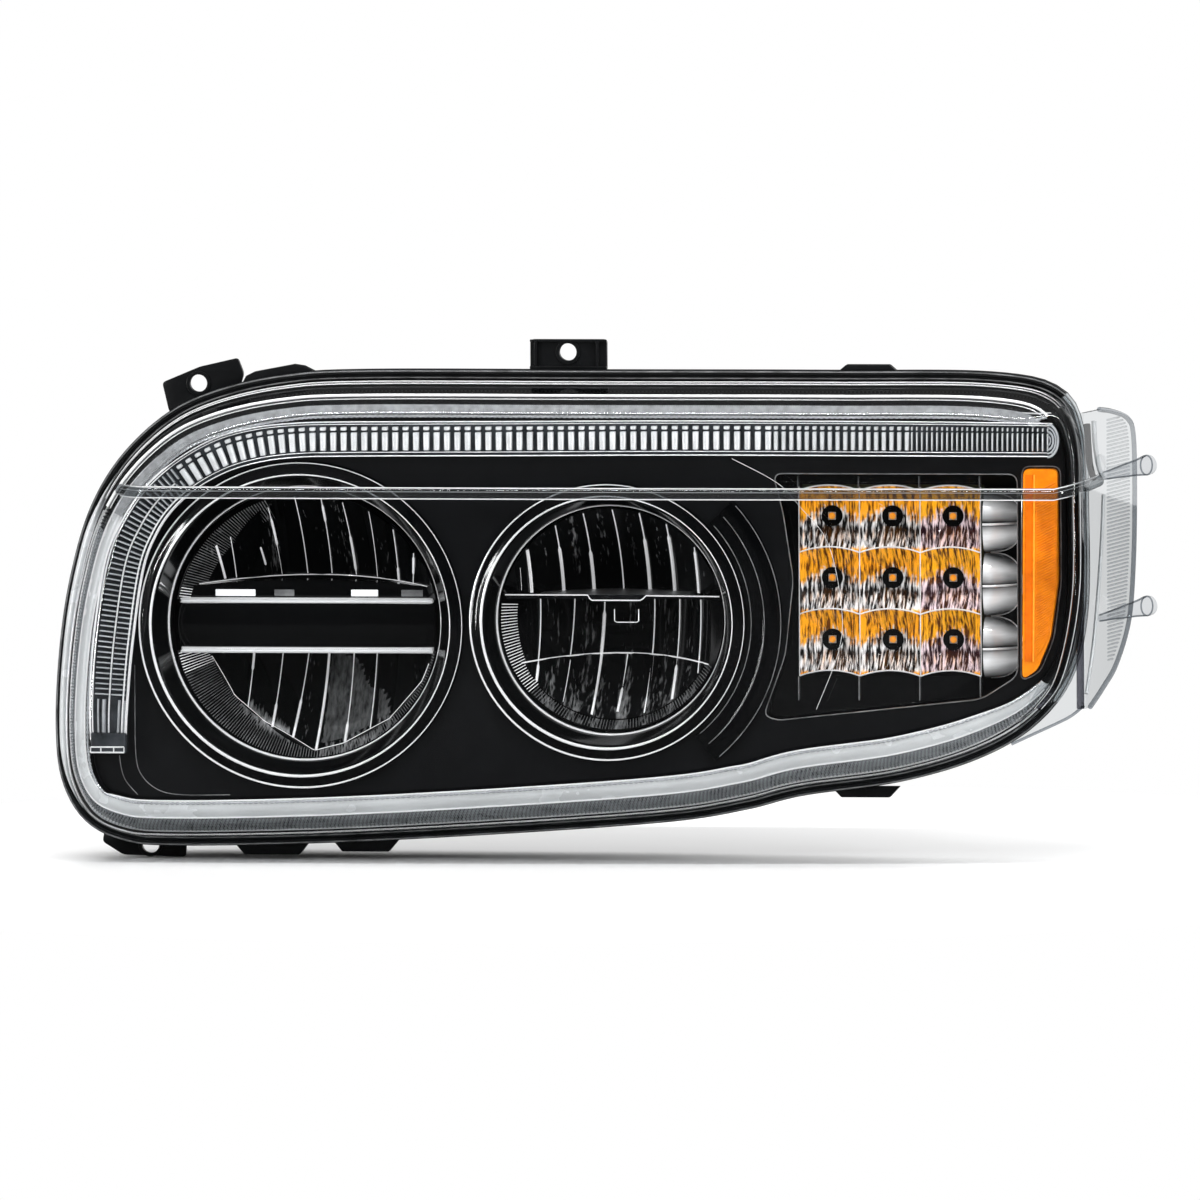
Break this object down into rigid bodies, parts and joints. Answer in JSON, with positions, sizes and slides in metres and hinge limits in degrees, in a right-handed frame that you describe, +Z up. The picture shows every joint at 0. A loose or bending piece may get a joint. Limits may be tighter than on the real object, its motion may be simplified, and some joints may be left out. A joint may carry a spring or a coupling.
{
  "type": "vehicle headlight assembly",
  "caption": "Wrap-around truck headlight with clear lens, two aimable LED bowls, turn signal, amber side marker, ribbed light guide and rear service covers.",
  "frame": {"origin": "middle of the whole lamp's bounding box", "axes": "+X towards the wrap-around outboard end, +Y towards the back of the lamp, so light leaves along -Y; +Z up"},
  "size_m": [0.6596, 0.209, 0.311],
  "materials": {
    "black_plastic": "satin moulded black",
    "gloss_black": "high gloss black",
    "clear_lens": "clear polished polycarbonate",
    "silver_trim": "silver-white moulded, fine ribs",
    "bright_chrome": "vacuum-metallised mirror",
    "dark_chrome": "dark tinted metallised mirror",
    "light_guide": "clear ribbed acrylic",
    "amber": "transparent amber acrylic",
    "aluminium": "die-cast, fine grain",
    "rubber": "matte black",
    "steel": "zinc plated",
    "board": "solder-masked circuit board",
    "brass": "plated contact",
    "nylon": "natural nylon"
  },
  "bodies": {
    "housing": {"rear_housing": "black_plastic", "inner_frame": "black_plastic", "low_rear_cover": "black_plastic", "high_rear_cover": "black_plastic", "connector_socket": "black_plastic", "lens_seal": "rubber", "low_cover_gasket": "rubber", "high_cover_gasket": "rubber", "breather_vent_1": "rubber", "breather_vent_2": "rubber", "outer_lens": "clear_lens", "signal_inner_lens": "clear_lens", "perimeter_trim": "silver_trim", "bezel": "gloss_black", "light_guide": "light_guide", "signal_reflector": "bright_chrome", "side_reflector": "bright_chrome", "side_marker_lens": "amber", "signal_board": "board", "side_marker_board": "board", "guide_led_board": "board", "low_pivot_inboard": "nylon", "low_pivot_outboard": "nylon", "high_pivot_inboard": "nylon", "high_pivot_outboard": "nylon", "low_adjuster_guide": "nylon", "high_adjuster_guide": "nylon", "driver_module": "aluminium", "connector_pins": "brass", "driver_screw_1": "steel", "driver_screw_2": "steel", "low_cover_screw_1": "steel", "low_cover_screw_2": "steel", "low_cover_screw_3": "steel", "high_cover_screw_1": "steel", "high_cover_screw_2": "steel", "high_cover_screw_3": "steel"},
    "low_beam": {"low_upper_reflector": "dark_chrome", "low_lower_reflector": "dark_chrome", "low_carrier": "black_plastic", "low_ball_socket": "nylon", "low_heat_sink": "aluminium", "low_centre_bar": "gloss_black", "low_bar_strip_upper": "bright_chrome", "low_bar_strip_lower": "bright_chrome", "low_led_board_upper": "board", "low_led_board_lower": "board"},
    "low_rod": {"low_adjuster_rod": "steel"},
    "low_knob": {"low_adjuster_knob": "black_plastic"},
    "high_beam": {"high_upper_reflector": "dark_chrome", "high_lower_reflector": "dark_chrome", "high_carrier": "black_plastic", "high_ball_socket": "nylon", "high_heat_sink": "aluminium", "high_led_board": "board"},
    "high_rod": {"high_adjuster_rod": "steel"},
    "high_knob": {"high_adjuster_knob": "black_plastic"}
  },
  "joints": [
    {"name": "low_beam_aim", "type": "hinge", "parent": "housing", "child": "low_beam", "pos_m": [-0.1768, -0.0325, -0.0145], "axis": [1, 0, 0], "range_deg": [-3, 3]},
    {"name": "low_rod_travel", "type": "slide", "parent": "housing", "child": "low_rod", "axis": [0, 1, 0], "range_m": [-0.00408, 0.00408]},
    {"name": "low_knob_turn", "type": "hinge", "parent": "housing", "child": "low_knob", "pos_m": [-0.1768, 0.0927, -0.0905], "axis": [0, 1, 0], "range_deg": [-365.3, 365.3]},
    {"name": "high_beam_aim", "type": "hinge", "parent": "housing", "child": "high_beam", "pos_m": [0.0067, -0.0325, -0.01], "axis": [1, 0, 0], "range_deg": [-3, 3]},
    {"name": "high_rod_travel", "type": "slide", "parent": "housing", "child": "high_rod", "axis": [0, 1, 0], "range_m": [-0.00344, 0.00344]},
    {"name": "high_knob_turn", "type": "hinge", "parent": "housing", "child": "high_knob", "pos_m": [0.0067, 0.0927, -0.074], "axis": [0, 1, 0], "range_deg": [-307.6, 307.6]}
  ],
  "couplings": [
    {"joint": "low_rod_travel", "follows": "low_beam_aim", "m_per_rad": 0.076},
    {"joint": "low_knob_turn", "follows": "low_beam_aim", "ratio": 119.38},
    {"joint": "high_rod_travel", "follows": "high_beam_aim", "m_per_rad": 0.064},
    {"joint": "high_knob_turn", "follows": "high_beam_aim", "ratio": 100.53}
  ]
}
